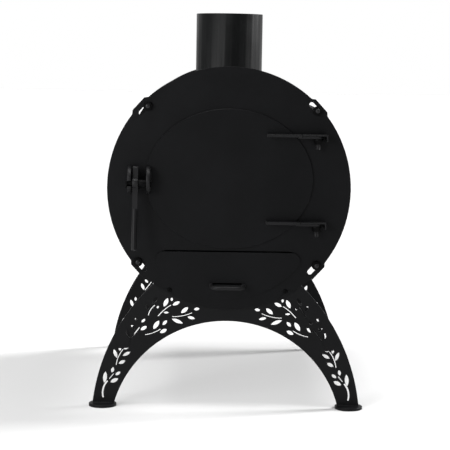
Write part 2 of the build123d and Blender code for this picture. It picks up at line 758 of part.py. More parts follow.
SPACER_X = DOOR_EAR_X - EAR_T - LATCH_PLAY  # right face of the spacer
with BuildPart() as latch_spacer:
    with BuildSketch(side_plane(SPACER_X)):
        with Locations((PIN_STAND, PIN_Z)):
            Circle(SPACER_R)
            Circle(PIN_R, mode=Mode.SUBTRACT)
    extrude(amount=SPACER_X - LEVER_X)
latch_spacer.part.label = "latch_spacer"
export_step(latch_spacer.part, "parts/latch_spacer.step")

# The lever and its grip are drawn along the lever's own line through the pin.
LEVER_FRAME = side_plane(LEVER_X).location * Location((PIN_STAND, PIN_Z, 0), (0, 0, LEVER_LEAN))
with BuildPart() as latch_lever:
    with BuildSketch(Plane(LEVER_FRAME)):
        with Locations((0, LEVER_TAIL)):
            Circle(LEVER_DEPTH / 2)
        with Locations((0, LEVER_TAIL)):
            Rectangle(
                LEVER_DEPTH,
                LEVER_TAIL + GRIP_START,
                align=(Align.CENTER, Align.MAX),
            )
        Circle(LEVER_BOSS_R)
        Circle(PIN_R, mode=Mode.SUBTRACT)
    extrude(amount=LEVER_WIDTH)
latch_lever.part.label = "latch_lever"
export_step(latch_lever.part, "parts/latch_lever.step")

# The grip is a turned rod with two grooves and a collar at its end.
GRIP_FRAME = LEVER_FRAME * Location((0, -GRIP_START, LEVER_WIDTH / 2), (90, 0, 0))
with BuildPart() as latch_grip:
    with Locations(GRIP_FRAME):
        Cylinder(GRIP_R, GRIP_LENGTH, align=(Align.CENTER, Align.CENTER, Align.MIN))
    for share in GROOVES:
        with Locations(GRIP_FRAME * Location((0, 0, GRIP_LENGTH * share))):
            Torus(GRIP_R + GROOVE_OUT, GROOVE_R, mode=Mode.SUBTRACT)
    chamfer(latch_grip.edges().group_by(Axis.Z)[0], length=GRIP_CHAMFER)
latch_grip.part.label = "latch_grip"
export_step(latch_grip.part, "parts/latch_grip.step")


# ---------------------------------------------------------------- ash drawer

DRAWER_FACE = DRAWER_GAP + DRAWER_T  # stand-off of the drawer's front face
TRAY_BACK = TRAY_LENGTH - DRAWER_GAP  # depth of the tray's rear face

with BuildPart() as drawer_front:
    with BuildSketch(face_plane(-DRAWER_GAP)):
        add(drawer_outline(DRAWER_R, DRAWER_TOP_Z, DRAWER_CORNER_R))
        with Locations((0, AIR_SLOT_Z)):
            SlotOverall(AIR_SLOT_LENGTH, AIR_SLOT_WIDTH, mode=Mode.SUBTRACT)
    extrude(amount=DRAWER_T)
drawer_front.part.label = "drawer_front"
export_step(drawer_front.part, "parts/drawer_front.step")


def tray_outline(arc_r):
    """The tray's section: the drawer's arc cut off level with the tray's rim."""
    with BuildSketch() as outline:
        with Locations((0, DRAWER_ARC_Z)):
            Circle(arc_r)
        with Locations((0, TRAY_TOP_Z)):
            Rectangle(2 * arc_r, 2 * arc_r, align=(Align.CENTER, Align.MAX), mode=Mode.INTERSECT)
    return outline.sketch


with BuildPart() as drawer_tray:
    with BuildSketch(face_plane(TRAY_BACK)):
        add(tray_outline(TRAY_R))
    extrude(amount=TRAY_LENGTH)
    with BuildSketch(face_plane(TRAY_BACK - TRAY_WALL)):
        add(tray_outline(TRAY_R - TRAY_WALL))
    extrude(amount=TRAY_LENGTH, mode=Mode.SUBTRACT)
drawer_tray.part.label = "drawer_tray"
export_step(drawer_tray.part, "parts/drawer_tray.step")

with BuildPart() as drawer_handle:
    with BuildLine(level_plane(HANDLE_Z)) as handle_line:
        FilletPolyline(
            (-HANDLE_HALF, -DRAWER_FACE),
            (-HANDLE_HALF, -HANDLE_REACH),
            (HANDLE_HALF, -HANDLE_REACH),
            (HANDLE_HALF, -DRAWER_FACE),
            radius=HANDLE_BEND_R,
        )
    with BuildSketch(Plane(origin=handle_line.wire() @ 0, z_dir=handle_line.wire() % 0)):
        Circle(HANDLE_R)
    sweep()
drawer_handle.part.label = "drawer_handle"
export_step(drawer_handle.part, "parts/drawer_handle.step")

# Two round runners lie on the drum's floor, just below the tray.
RUNNER_IN = DRUM_R - DRUM_WALL - RUNNER_R
RUNNER_OUT = TRAY_R + RUNNER_R + RUNNER_GAP
RUNNER_Z = (RUNNER_IN**2 - RUNNER_OUT**2 + DRAWER_ARC_Z**2) / (2 * DRAWER_ARC_Z)
RUNNER_X = math.sqrt(RUNNER_IN**2 - RUNNER_Z**2)
for hand, runner_x in (("left", -RUNNER_X), ("right", RUNNER_X)):
    with BuildPart() as drawer_runner:
        with BuildSketch(face_plane(TRAY_BACK)):
            with Locations((runner_x, RUNNER_Z)):
                Circle(RUNNER_R)
        extrude(amount=TRAY_BACK - PLATE_T)
    drawer_runner.part.label = f"drawer_runner_{hand}"
    export_step(drawer_runner.part, f"parts/drawer_runner_{hand}.step")
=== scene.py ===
import json
import math
import random

import bpy
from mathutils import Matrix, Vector


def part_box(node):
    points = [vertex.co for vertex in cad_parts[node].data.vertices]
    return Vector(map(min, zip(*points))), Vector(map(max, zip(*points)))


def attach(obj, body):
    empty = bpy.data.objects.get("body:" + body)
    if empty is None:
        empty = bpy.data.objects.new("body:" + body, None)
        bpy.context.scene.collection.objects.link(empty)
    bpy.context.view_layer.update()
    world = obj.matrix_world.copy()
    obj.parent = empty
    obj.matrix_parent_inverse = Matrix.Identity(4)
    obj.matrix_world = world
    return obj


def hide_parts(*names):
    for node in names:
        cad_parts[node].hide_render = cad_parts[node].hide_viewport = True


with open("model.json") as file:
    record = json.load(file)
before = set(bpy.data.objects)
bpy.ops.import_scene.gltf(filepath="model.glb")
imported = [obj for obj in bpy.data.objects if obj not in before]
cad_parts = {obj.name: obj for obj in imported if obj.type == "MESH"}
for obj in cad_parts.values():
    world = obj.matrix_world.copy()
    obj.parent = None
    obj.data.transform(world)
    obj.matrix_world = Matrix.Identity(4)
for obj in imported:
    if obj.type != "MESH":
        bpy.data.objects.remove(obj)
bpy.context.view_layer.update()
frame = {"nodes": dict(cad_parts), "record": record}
SEED = 11
random.seed(SEED)

# Metres. +Z is up and the door faces -Y. Positions come from the CAD frame.
MM = 0.001
TAU = 2 * math.pi
DRUM_LOW, DRUM_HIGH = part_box("drum_shell")
FLUE_LOW, FLUE_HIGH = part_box("flue_spigot")
DOOR_LOW, DOOR_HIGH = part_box("door_plate")
FRONT_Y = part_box("front_plate")[0].y
DRAWER_FACE_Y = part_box("drawer_front")[0].y
DRUM_R = (DRUM_HIGH.x - DRUM_LOW.x) / 2
DRUM_WALL = 3 * MM
DRUM_INNER_R = DRUM_R - DRUM_WALL
AXIS_Z = (DRUM_HIGH.z + DRUM_LOW.z) / 2
AXIS = Vector((0.0, FRONT_Y, AXIS_Z))  # drum axis at the front face
COLLAR_R = (FLUE_HIGH.x - FLUE_LOW.x) / 2
COLLAR_TOP_Z = AXIS_Z + 254.5 * MM
COLLAR_WIDTH = 5 * MM
FLUE_R = COLLAR_R - COLLAR_WIDTH
FLUE_Y = (FLUE_LOW.y + FLUE_HIGH.y) / 2


# ---------------------------------------------------------------- camera, lights and stage

CAMERA_OFFSET = Vector((-0.04165, -3.30848, 0.28839))  # from AXIS
CAMERA_TURN = (83.644, -0.9, -0.488)  # degrees
CAMERA_LENS = 120.0
SENSOR_WIDTH = 36.0

# Far lights: azimuth from the front towards +X and elevation in degrees, apparent width in
# degrees, and strength.
FAR_LIGHTS = {
    "key": (-46.0, 29.0, 14.0, 0.3),
    "rear_right": (110.0, 33.0, 17.0, 4.2),
    "top": (-60.0, 84.0, 26.0, 2.3),
}
FAR_DISTANCE = 6.0  # where the far lights are drawn; their light doesn't depend on it
# Softboxes: azimuth, elevation, distance, width and height in metres, and power in watts.
SOFTBOXES = {
    "wide": (-46.0, 12.0, 4.6, 3.0, 1.8, 62.0),
    "strip": (-31.0, 12.0, 4.4, 1.1, 1.8, 62.0),
}


def add_camera():
    """The camera stands well back, a little above the drum, with a long lens."""
    data = bpy.data.cameras.new("camera")
    data.lens = CAMERA_LENS
    data.sensor_width = SENSOR_WIDTH
    camera = bpy.data.objects.new("camera", data)
    camera.location = AXIS + CAMERA_OFFSET
    camera.rotation_euler = [math.radians(angle) for angle in CAMERA_TURN]
    bpy.context.scene.collection.objects.link(camera)
    bpy.context.scene.camera = camera


def aim(azimuth, elevation):
    """Unit vector from the drum towards a light."""
    turn = math.radians(azimuth)
    rise = math.radians(elevation)
    return Vector(
        (math.sin(turn) * math.cos(rise), -math.cos(turn) * math.cos(rise), math.sin(rise))
    )


def add_light(name, data, towards, distance):
    """Places a light and turns it to the drum's middle."""
    light = bpy.data.objects.new(name, data)
    light.location = Vector((0, 0, AXIS_Z)) + distance * towards
    light.rotation_euler = (-towards).to_track_quat("-Z", "Y").to_euler()
    bpy.context.scene.collection.objects.link(light)


def add_far_light(name, azimuth, elevation, spread, strength):
    """A soft light so far off that it falls evenly on the whole floor."""
    data = bpy.data.lights.new(name, "SUN")
    data.angle = math.radians(spread)
    data.energy = strength
    add_light(name, data, aim(azimuth, elevation), FAR_DISTANCE)


def add_softbox(name, azimuth, elevation, distance, width, height, power):
    """A softbox that faces the drum's middle."""
    data = bpy.data.lights.new(name, "AREA")
    data.shape = "RECTANGLE"
    data.size = width
    data.size_y = height
    data.energy = power
    add_light(name, data, aim(azimuth, elevation), distance)


WALL_BRIGHTNESS = 1.0
CEILING_BRIGHTNESS = 0.40
WALL_RISE = (0.20, 0.34)  # sine of the elevation where the white walls give way to the ceiling
# Brightness of the shaded walls, as a share, and the X or Y of the directions where each shade
# is full and where it ends.
LEFT_SHADE = 0.40
LEFT_TURN = (-0.95, -0.55)
RIGHT_SHADE = 0.50
RIGHT_TURN = (0.95, 0.45)
FRONT_SHADE = 0.33  # behind the camera
FRONT_TURN = (-0.70, -0.20)


def add_world():
    """Walls under a darker ceiling: white behind the chiminea, in shade on the other sides."""
    world = bpy.data.worlds.new("studio")
    world.use_nodes = True
    tree = world.node_tree
    place = tree.nodes.new("ShaderNodeTexCoord")
    split = tree.nodes.new("ShaderNodeSeparateXYZ")
    tree.links.new(place.outputs["Generated"], split.inputs[0])

    def span(letter, limits, low, high):
        node = tree.nodes.new("ShaderNodeMapRange")
        tree.links.new(split.outputs[letter], node.inputs["Value"])
        for key, value in zip(("From Min", "From Max", "To Min", "To Max"), (*limits, low, high)):
            node.inputs[key].default_value = value
        return node.outputs["Result"]

    total = span("Z", WALL_RISE, WALL_BRIGHTNESS, CEILING_BRIGHTNESS)
    shades = (
        span("X", LEFT_TURN, LEFT_SHADE, 1.0),
        span("X", RIGHT_TURN, RIGHT_SHADE, 1.0),
        span("Y", FRONT_TURN, FRONT_SHADE, 1.0),
    )
    for shade in shades:
        product = tree.nodes.new("ShaderNodeMath")
        product.operation = "MULTIPLY"
        tree.links.new(total, product.inputs[0])
        tree.links.new(shade, product.inputs[1])
        total = product.outputs[0]
    background = tree.nodes["Background"]
    tree.links.new(total, background.inputs["Strength"])
    background.inputs["Color"].default_value = (1.0, 1.0, 1.0, 1.0)
    bpy.context.scene.world = world


FLOOR_HALF = 30.0
FLOOR_ALBEDO = 0.60
FLOOR_ROUGHNESS = 0.9
FLOOR_SPECULAR = 0.1


def add_floor():
    """A plain pale floor."""
    mesh = bpy.data.meshes.new("floor")
    corners = [
        (-FLOOR_HALF, -FLOOR_HALF, 0),
        (FLOOR_HALF, -FLOOR_HALF, 0),
        (FLOOR_HALF, FLOOR_HALF, 0),
        (-FLOOR_HALF, FLOOR_HALF, 0),
    ]
    mesh.from_pydata(corners, [], [(0, 1, 2, 3)])
    floor = bpy.data.objects.new("floor", mesh)
    bpy.context.scene.collection.objects.link(floor)
    material = bpy.data.materials.new("pale_floor")
    material.use_nodes = True
    shader = material.node_tree.nodes["Principled BSDF"]
    shader.inputs["Base Color"].default_value = (FLOOR_ALBEDO, FLOOR_ALBEDO, FLOOR_ALBEDO, 1.0)
    shader.inputs["Roughness"].default_value = FLOOR_ROUGHNESS
    shader.inputs["Specular IOR Level"].default_value = FLOOR_SPECULAR
    mesh.materials.append(material)


bpy.context.scene.view_settings.view_transform = "Standard"
add_world()
add_camera()
for light_name, light_values in FAR_LIGHTS.items():
    add_far_light(light_name, *light_values)
for box_name, box_values in SOFTBOXES.items():
    add_softbox(box_name, *box_values)
add_floor()


# ---------------------------------------------------------------- node helpers

EDGE_SAMPLES = 4
EDGE_COSINES = (0.995, 0.80)  # bend of the softened normal where an edge starts and is full


class NodeTree:
    """Short calls that build one material's nodes."""

    def __init__(self, name):
        self.material = bpy.data.materials.new(name)
        self.material.use_nodes = True
        self.tree = self.material.node_tree
        self.shader = self.tree.nodes["Principled BSDF"]
        self.place = self.add("ShaderNodeTexCoord").outputs["Object"]

    def add(self, kind, **settings):
        node = self.tree.nodes.new(kind)
        for key, value in settings.items():
            setattr(node, key, value)
        return node

    def feed(self, socket, value):
        """Links an output to an input, or writes a plain value."""
        if isinstance(value, bpy.types.NodeSocket):
            self.tree.links.new(value, socket)
        elif isinstance(value, tuple) and len(value) == 3 and socket.type == "RGBA":
            socket.default_value = (*value, 1.0)
        else:
            socket.default_value = value

    def math(self, operation, first, second=0.5):
        node = self.add("ShaderNodeMath", operation=operation)
        self.feed(node.inputs[0], first)
        self.feed(node.inputs[1], second)
        return node.outputs[0]

    def noise(self, scale, detail=3.0, roughness=0.55):
        """Noise over the object, between 0 and 1."""
        node = self.add("ShaderNodeTexNoise")
        self.feed(node.inputs["Vector"], self.place)
        node.inputs["Scale"].default_value = scale
        node.inputs["Detail"].default_value = detail
        node.inputs["Roughness"].default_value = roughness
        return node.outputs["Fac"]

    def ramp(self, value, low, high, to_low=0.0, to_high=1.0):
        """Maps low..high to to_low..to_high, held at both ends."""
        node = self.add("ShaderNodeMapRange", interpolation_type="SMOOTHSTEP")
        self.feed(node.inputs["Value"], value)
        for key, number in zip(
            ("From Min", "From Max", "To Min", "To Max"), (low, high, to_low, to_high)
        ):
            node.inputs[key].default_value = number
        return node.outputs["Result"]

    def mix(self, factor, first, second):
        """A colour between two colours."""
        node = self.add("ShaderNodeMixRGB")
        self.feed(node.inputs["Fac"], factor)
        self.feed(node.inputs["Color1"], first)
        self.feed(node.inputs["Color2"], second)
        return node.outputs["Color"]

    def axis(self, letter):
        """The X, Y or Z place on the object, in metres."""
        node = self.add("ShaderNodeSeparateXYZ")
        self.feed(node.inputs[0], self.place)
        return node.outputs[letter]

    def edges(self, radius):
        """0 on flat faces and towards 1 on edges."""
        soft = self.add("ShaderNodeBevel", samples=EDGE_SAMPLES)
        soft.inputs["Radius"].default_value = radius
        plain = self.add("ShaderNodeNewGeometry")
        dot = self.add("ShaderNodeVectorMath", operation="DOT_PRODUCT")
        self.feed(dot.inputs[0], soft.outputs["Normal"])
        self.feed(dot.inputs[1], plain.outputs["True Normal"])
        return self.ramp(dot.outputs["Value"], *EDGE_COSINES)

    def bump(self, height, distance, under=None):
        node = self.add("ShaderNodeBump")
        self.feed(node.inputs["Height"], height)
        node.inputs["Distance"].default_value = distance
        if under is not None:
            self.feed(node.inputs["Normal"], under)
        return node.outputs["Normal"]

    def finish(self, color, roughness, normal, specular):
        inputs = self.shader.inputs
        self.feed(inputs["Base Color"], color)
        self.feed(inputs["Roughness"], roughness)
        self.feed(inputs["Specular IOR Level"], specular)
        self.feed(inputs["Normal"], normal)
        return self.material


# ---------------------------------------------------------------- materials

# Pale steel on the rubbed edges: partly real wear, partly a painted highlight along the rims.
BARE_STEEL_AND_EDGE_HIGHLIGHT = (0.11, 0.11, 0.115)
DUST = (0.05, 0.05, 0.052)
SOOT = (0.0075, 0.007, 0.0065)
ASH = (0.10, 0.095, 0.09)
RUST = (0.045, 0.017, 0.008)
BARE_ROUGHNESS = 0.36
SOOT_ROUGHNESS = 0.95
ASH_ROUGHNESS = 0.98
RUST_ROUGHNESS = 0.9

# Scales of the noise: how many waves to a metre.
CLOUDS = 9.0
FLECKS = 420.0
WEAR_AND_HIGHLIGHT = 160.0
GRAIN = 1100.0
WAVES = 7.0
HAMMERING = 60.0
SOOT_PATCHES = 24.0
ASH_DRIFTS = 30.0
STAINS = 14.0

CLOUD_TONE = 1.35  # the paler colour of the clouds, as a share of the darker
CLOUD_POLISH = (-0.05, 0.06)  # roughness over the clouds, from the mean


class Painted(NodeTree):
    """A painted or sooty steel surface, built up step by step."""

    def __init__(self, name, color, roughness):
        super().__init__(name)
        clouds = self.noise(CLOUDS, 4.0)
        paler = tuple(CLOUD_TONE * part for part in color)
        smooth, rough = (roughness + change for change in CLOUD_POLISH)
        self.tone = self.mix(self.ramp(clouds, 0.35, 0.7), color, paler)
        self.rough = self.ramp(clouds, 0.3, 0.7, smooth, rough)
        self.normal = None

    def cover(self, share, color, roughness):
        """Lays another colour and roughness over a share of the surface."""
        self.tone = self.mix(share, self.tone, color)
        keep = self.math("MULTIPLY", self.rough, self.math("SUBTRACT", 1.0, share))
        self.rough = self.math("ADD", keep, self.math("MULTIPLY", share, roughness))

    def dust(self, amount=0.16):
        """Pale flecks."""
        flecks = self.ramp(self.noise(FLECKS, 3.0, 0.7), 0.66, 0.78)
        self.tone = self.mix(self.math("MULTIPLY", flecks, amount), self.tone, DUST)

    def rub_and_edge_highlight(self, radius, wear_and_highlight):
        """Edges rubbed through to the steel here and there; the pale edges are also a painted
        highlight along the rims.
        """
        patches = self.ramp(self.noise(WEAR_AND_HIGHLIGHT), 0.42, 0.68)
        share = self.math("MULTIPLY", self.edges(radius), patches)
        # Painted highlight in part: pale steel laid on the edges, beside real wear.
        self.cover(self.math("MULTIPLY", share, wear_and_highlight), BARE_STEEL_AND_EDGE_HIGHLIGHT, BARE_ROUGHNESS)

    def grain(self, depth):
        """The fine grain of sprayed paint."""
        self.normal = self.bump(self.noise(GRAIN, 2.0), depth, self.normal)

    def waves(self, depth, scale=WAVES):
        """Faint waves left by rolling."""
        self.normal = self.bump(self.noise(scale, 2.0), depth, self.normal)

    def sooty(self, share):
        """Soot, thicker in patches."""
        patches = self.ramp(self.noise(SOOT_PATCHES, 4.0), 0.25, 0.6, 0.6, 1.0)
        self.cover(self.math("MULTIPLY", share, patches), SOOT, SOOT_ROUGHNESS)

    def ashy(self, amount):
        """Ash on the faces that look up."""
        plain = self.add("ShaderNodeNewGeometry")
        split = self.add("ShaderNodeSeparateXYZ")
        self.feed(split.inputs[0], plain.outputs["Normal"])
        up = self.ramp(split.outputs["Z"], 0.6, 0.95)
        drifts = self.ramp(self.noise(ASH_DRIFTS, 4.0, 0.6), 0.45, 0.7)
        share = self.math("MULTIPLY", self.math("MULTIPLY", up, drifts), amount)
        self.cover(share, ASH, ASH_ROUGHNESS)

    def done(self, specular):
        return self.finish(self.tone, self.rough, self.normal, specular)


def inside_drum(nodes):
    """1 on the surfaces inside the drum and behind the front plate's face."""
    across = nodes.axis("X")
    up = nodes.math("SUBTRACT", nodes.axis("Z"), AXIS_Z)
    squares = nodes.math(
        "ADD", nodes.math("MULTIPLY", across, across), nodes.math("MULTIPLY", up, up)
    )
    radius = nodes.math("SQRT", squares)
    middle = (DRUM_R + DRUM_INNER_R) / 2
    near = nodes.ramp(radius, middle - 1 * MM, middle + 1 * MM, 1.0, 0.0)
    depth = nodes.axis("Y")
    behind = nodes.ramp(depth, FRONT_Y + 1.5 * MM, DRUM_LOW.y - 0.5 * MM)
    before = nodes.ramp(depth, DRUM_HIGH.y + 0.5 * MM, DRUM_HIGH.y + 1.5 * MM, 1.0, 0.0)
    return nodes.math("MULTIPLY", near, nodes.math("MULTIPLY", behind, before))


def drum_paint():
    """Matte heat-resistant paint on rolled sheet, sooty inside."""
    paint = Painted("drum_paint", (0.0018, 0.0019, 0.0022), 0.46)
    paint.dust()
    paint.rub_and_edge_highlight(0.8 * MM, 0.4)
    paint.sooty(inside_drum(paint))
    paint.grain(0.05 * MM)
    paint.waves(0.4 * MM)
    return paint.done(0.10)


def plate_paint():
    """Matte heat-resistant paint on the end plates, sooty inside."""
    paint = Painted("plate_paint", (0.0019, 0.0020, 0.0024), 0.45)
    paint.dust()
    paint.rub_and_edge_highlight(0.6 * MM, 0.35)
    paint.sooty(inside_drum(paint))
    paint.grain(0.05 * MM)
    return paint.done(0.10)


def door_paint():
    """The same paint on the door and the drawer's front, sooty behind."""
    paint = Painted("door_paint", (0.0018, 0.0019, 0.0023), 0.45)
    paint.dust()
    paint.rub_and_edge_highlight(0.6 * MM, 0.35)
    back = paint.ramp(paint.axis("Y"), DOOR_HIGH.y - 1.2 * MM, DOOR_HIGH.y - 0.2 * MM)
    before_drawer = paint.ramp(paint.axis("Z"), DOOR_LOW.z, DOOR_LOW.z - 5 * MM, 1.0, 0.0)
    paint.sooty(paint.math("MULTIPLY", back, before_drawer))
    paint.grain(0.05 * MM)
    return paint.done(0.10)


def leg_paint():
    """Matte paint on laser-cut plate, its base colour paler than the plates' paint to stand in
    for the light on the legs: painted light.
    """
    # Painted light: the base colour is raised above the plates' paint to brighten the legs.
    paint = Painted("leg_paint", (0.0026, 0.0027, 0.0031), 0.46)
    paint.dust()
    paint.rub_and_edge_highlight(0.6 * MM, 0.4)
    paint.grain(0.05 * MM)
    return paint.done(0.12)


def flue_paint():
    """Satin paint on tube, its base colour paler than the plates' paint to stand in for the light
    on the tube: painted light.
    """
    # Painted light: the base colour is raised above the plates' paint to brighten the lit tube.
    paint = Painted("flue_paint", (0.0034, 0.0037, 0.0039), 0.42)
    paint.dust(0.1)
    paint.rub_and_edge_highlight(0.5 * MM, 0.35)
    paint.grain(0.02 * MM)
    paint.waves(0.3 * MM)
    return paint.done(0.14)


def hinge_paint():
    """Satin paint on small folded and welded pieces."""
    paint = Painted("hinge_paint", (0.0045, 0.0045, 0.0050), 0.48)
    paint.dust(0.12)
    paint.rub_and_edge_highlight(0.35 * MM, 0.35)
    paint.grain(0.04 * MM)
    return paint.done(0.17)


def black_steel():
    """Black oxide on the fasteners."""
    steel = Painted("black_steel", (0.0015, 0.0015, 0.0016), 0.5)
    steel.rub_and_edge_highlight(0.25 * MM, 0.12)
    steel.grain(0.02 * MM)
    return steel.done(0.05)


def rod_steel():
    """Dulled steel on the rods and studs."""
    steel = Painted("rod_steel", (0.0060, 0.0060, 0.0066), 0.42)
    steel.rub_and_edge_highlight(0.25 * MM, 0.25)
    steel.grain(0.02 * MM)
    return steel.done(0.22)


def grip_steel():
    """Worn black steel."""
    steel = Painted("grip_steel", (0.0052, 0.0052, 0.0057), 0.44)
    steel.rub_and_edge_highlight(0.3 * MM, 0.4)
    steel.grain(0.02 * MM)
    steel.waves(0.05 * MM, HAMMERING)
    return steel.done(0.13)


def tray_steel():
    """Sooty sheet with ash on its floor."""
    steel = Painted("tray_steel", (0.010, 0.010, 0.0105), 0.6)
    steel.rub_and_edge_highlight(0.5 * MM, 0.5)
    steel.ashy(0.5)
    steel.grain(0.05 * MM)
    return steel.done(0.2)


def fire_steel():
    """Sooty, heat-stained steel in the fire."""
    steel = Painted("fire_steel", (0.012, 0.011, 0.010), 0.8)
    stains = steel.ramp(steel.noise(STAINS, 4.0), 0.5, 0.75)
    steel.cover(steel.math("MULTIPLY", stains, 0.35), RUST, RUST_ROUGHNESS)
    steel.rub_and_edge_highlight(0.5 * MM, 0.3)
    steel.ashy(0.35)
    steel.grain(0.15 * MM)
    return steel.done(0.12)


MATERIALS = {
    "drum_paint": drum_paint(),
    "plate_paint": plate_paint(),
    "door_paint": door_paint(),
    "leg_paint": leg_paint(),
    "flue_paint": flue_paint(),
    "hinge_paint": hinge_paint(),
    "black_steel": black_steel(),
    "rod_steel": rod_steel(),
    "grip_steel": grip_steel(),
    "tray_steel": tray_steel(),
    "fire_steel": fire_steel(),
}

NODE_SLOTS = {part["node"]: part["material_slot"] for part in frame["record"]["subparts"]}
for node_name, node in frame["nodes"].items():
    node.data.materials.clear()
    node.data.materials.append(MATERIALS[NODE_SLOTS[node_name]])


# ---------------------------------------------------------------- eased edges on the CAD nodes

# Nodes whose sharp edges are eased, and by how much.
EASED = {
    "front_plate": 0.5 * MM,
    "rear_plate": 0.5 * MM,
    "leg_frame_front": 0.5 * MM,
    "leg_frame_rear": 0.5 * MM,
    "drawer_front": 0.5 * MM,
    "flue_spigot": 0.4 * MM,
    "hinge_strap_upper": 0.5 * MM,
    "hinge_strap_lower": 0.5 * MM,
    "hinge_bracket_upper": 0.3 * MM,
    "hinge_bracket_lower": 0.3 * MM,
    "latch_keeper": 0.5 * MM,
    "latch_ear": 0.5 * MM,
    "latch_lever": 0.6 * MM,
    "latch_spacer": 0.4 * MM,
}
EASE_ANGLE = math.radians(40)


def ease_edges(node, width):
    """Rounds a node's sharp edges a little."""
    weld = node.modifiers.new("joined", "WELD")
    weld.merge_threshold = 0.005 * MM
    bevel = node.modifiers.new("eased", "BEVEL")
    bevel.width = width
    bevel.segments = 2
    bevel.limit_method = "ANGLE"
    bevel.angle_limit = EASE_ANGLE
    bevel.use_clamp_overlap = True
    bevel.harden_normals = True


for node_name, ease_width in EASED.items():
    ease_edges(frame["nodes"][node_name], ease_width)


# ---------------------------------------------------------------- swept pieces

SHARP_ANGLE = math.radians(50)


class Shell:
    """Closed skins made of rings of points, gathered in one mesh."""

    def __init__(self):
        self.points = []
        self.faces = []

    def sweep(self, rings, closed=False):
        """Joins each ring to the next, and closes the ends unless it comes back round."""
        start = len(self.points)
        sides = len(rings[0])
        for ring in rings:
            self.points.extend(ring)
        count = len(rings)
        for i in range(count if closed else count - 1):
            here = start + i * sides
            there = start + ((i + 1) % count) * sides
            for k in range(sides):
                after = (k + 1) % sides
                self.faces.append((here + k, here + after, there + after, there + k))
        if not closed:
            last = start + (count - 1) * sides
            self.faces.append(tuple(start + k for k in reversed(range(sides))))
            self.faces.append(tuple(last + k for k in range(sides)))

    def make(self, name, body, slot_name):
        """Turns the skins into a piece that rides on a body."""
        mesh = bpy.data.meshes.new(name)
        mesh.from_pydata(self.points, [], self.faces)
        mesh.materials.append(MATERIALS[slot_name])
        mesh.shade_smooth()
        mesh.set_sharp_from_angle(angle=SHARP_ANGLE)
        piece = bpy.data.objects.new(name, mesh)
        bpy.context.scene.collection.objects.link(piece)
        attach(piece, body)
        return piece


# ---------------------------------------------------------------- weld beads

BEAD_SIDES = 8
RIPPLE_PITCH = 2.2 * MM
RIPPLE_SAMPLES = 4  # rings to a ripple
RIPPLE_DEPTH = 0.16  # share of the bead's radius
BEAD_LEAN = 0.45  # how far each ripple's crown leads its sides, as a share of the radius
BEAD_WANDER = 0.08  # unevenness, as a share of the radius
BEAD_END = 0.55  # radius of an open bead's first ring, as a share
BEAD_GROWTH = 0.45  # share it gains over the first ripple
RING_STEPS = 240
HANDLE_STEPS = 32

# Radii of the beads.
COLLAR_BEAD = 2.8 * MM
SPIGOT_BEAD = 2.0 * MM
SPIGOT_SEAM = 1.4 * MM
DRUM_BEAD = 1.8 * MM
FOOT_BEAD = 2.2 * MM
SMALL_BEAD = 1.5 * MM  # hinges and latch
HANDLE_BEAD = 1.2 * MM


def spaced(points, closed, step):
    """Points at even steps along a line of points."""
    line = points + [points[0]] if closed else points
    runs = [(b - a).length for a, b in zip(line, line[1:])]
    total = sum(runs)
    count = max(4, round(total / step))
    places = []
    run = 0
    done = 0.0
    for i in range(count if closed else count + 1):
        want = total * i / count
        while run < len(runs) - 1 and done + runs[run] < want:
            done += runs[run]
            run += 1
        places.append(line[run].lerp(line[run + 1], (want - done) / runs[run]))
    return places


def bead(shell, points, outwards, radius, closed=False):
    """Lays a rippled bead along a line. outwards gives each place's open side."""
    places = spaced(points, closed, RIPPLE_PITCH / RIPPLE_SAMPLES)
    count = len(places)
    wander = [random.uniform(-1, 1) for _ in range(count // RIPPLE_SAMPLES + 2)]
    rings = []
    for i, place in enumerate(places):
        before = places[i - 1] if closed or i > 0 else place
        after = places[(i + 1) % count] if closed or i < count - 1 else place
        along = (after - before).normalized()
        out = outwards(place)
        out = (out - along * out.dot(along)).normalized()
        side = along.cross(out)
        ripple = i % RIPPLE_SAMPLES / RIPPLE_SAMPLES
        swell = 1 - RIPPLE_DEPTH * ripple + BEAD_WANDER * wander[i // RIPPLE_SAMPLES]
        if not closed:
            ends = min(i, count - 1 - i) / RIPPLE_SAMPLES
            swell *= min(1.0, BEAD_END + BEAD_GROWTH * ends)
        ring = []
        for k in range(BEAD_SIDES):
            turn = TAU * k / BEAD_SIDES
            reach = radius * swell
            lead = along * (radius * BEAD_LEAN * math.cos(turn))
            upward = out * (reach * math.cos(turn))
            sideways = side * (reach * math.sin(turn))
            ring.append(place + upward + sideways + lead)
        rings.append(ring)
    shell.sweep(rings, closed)


def line(start, end):
    return [Vector(start), Vector(end)]


def facing(*direction):
    """The same open side everywhere along a bead."""
    out = Vector(direction).normalized()
    return lambda place: out


def from_flue(place):
    """Away from the flue's axis and upwards."""
    return Vector((place.x, place.y - FLUE_Y, 0)).normalized() + Vector((0, 0, 1))


def flue_welds():
    """The collar welded to the drum, the spigot to the collar, and the spigot's own seam."""
    shell = Shell()
    saddle = []
    ring = []
    for i in range(RING_STEPS):
        turn = TAU * i / RING_STEPS
        x = COLLAR_R * math.sin(turn)
        y = FLUE_Y + COLLAR_R * math.cos(turn)
        saddle.append(Vector((x, y, AXIS_Z + math.sqrt(DRUM_R**2 - x**2))))
        x = FLUE_R * math.sin(turn)
        y = FLUE_Y + FLUE_R * math.cos(turn)
        ring.append(Vector((x, y, COLLAR_TOP_Z)))
    bead(shell, saddle, from_flue, COLLAR_BEAD, closed=True)
    bead(shell, ring, from_flue, SPIGOT_BEAD, closed=True)
    seam_y = FLUE_Y + FLUE_R - 0.6 * MM
    seam = line((0, seam_y, COLLAR_TOP_Z), (0, seam_y, FLUE_HIGH.z - 2 * MM))
    bead(shell, seam, facing(0, 1, 0), SPIGOT_SEAM)
    shell.make("flue_welds", "stove_body", "flue_paint")


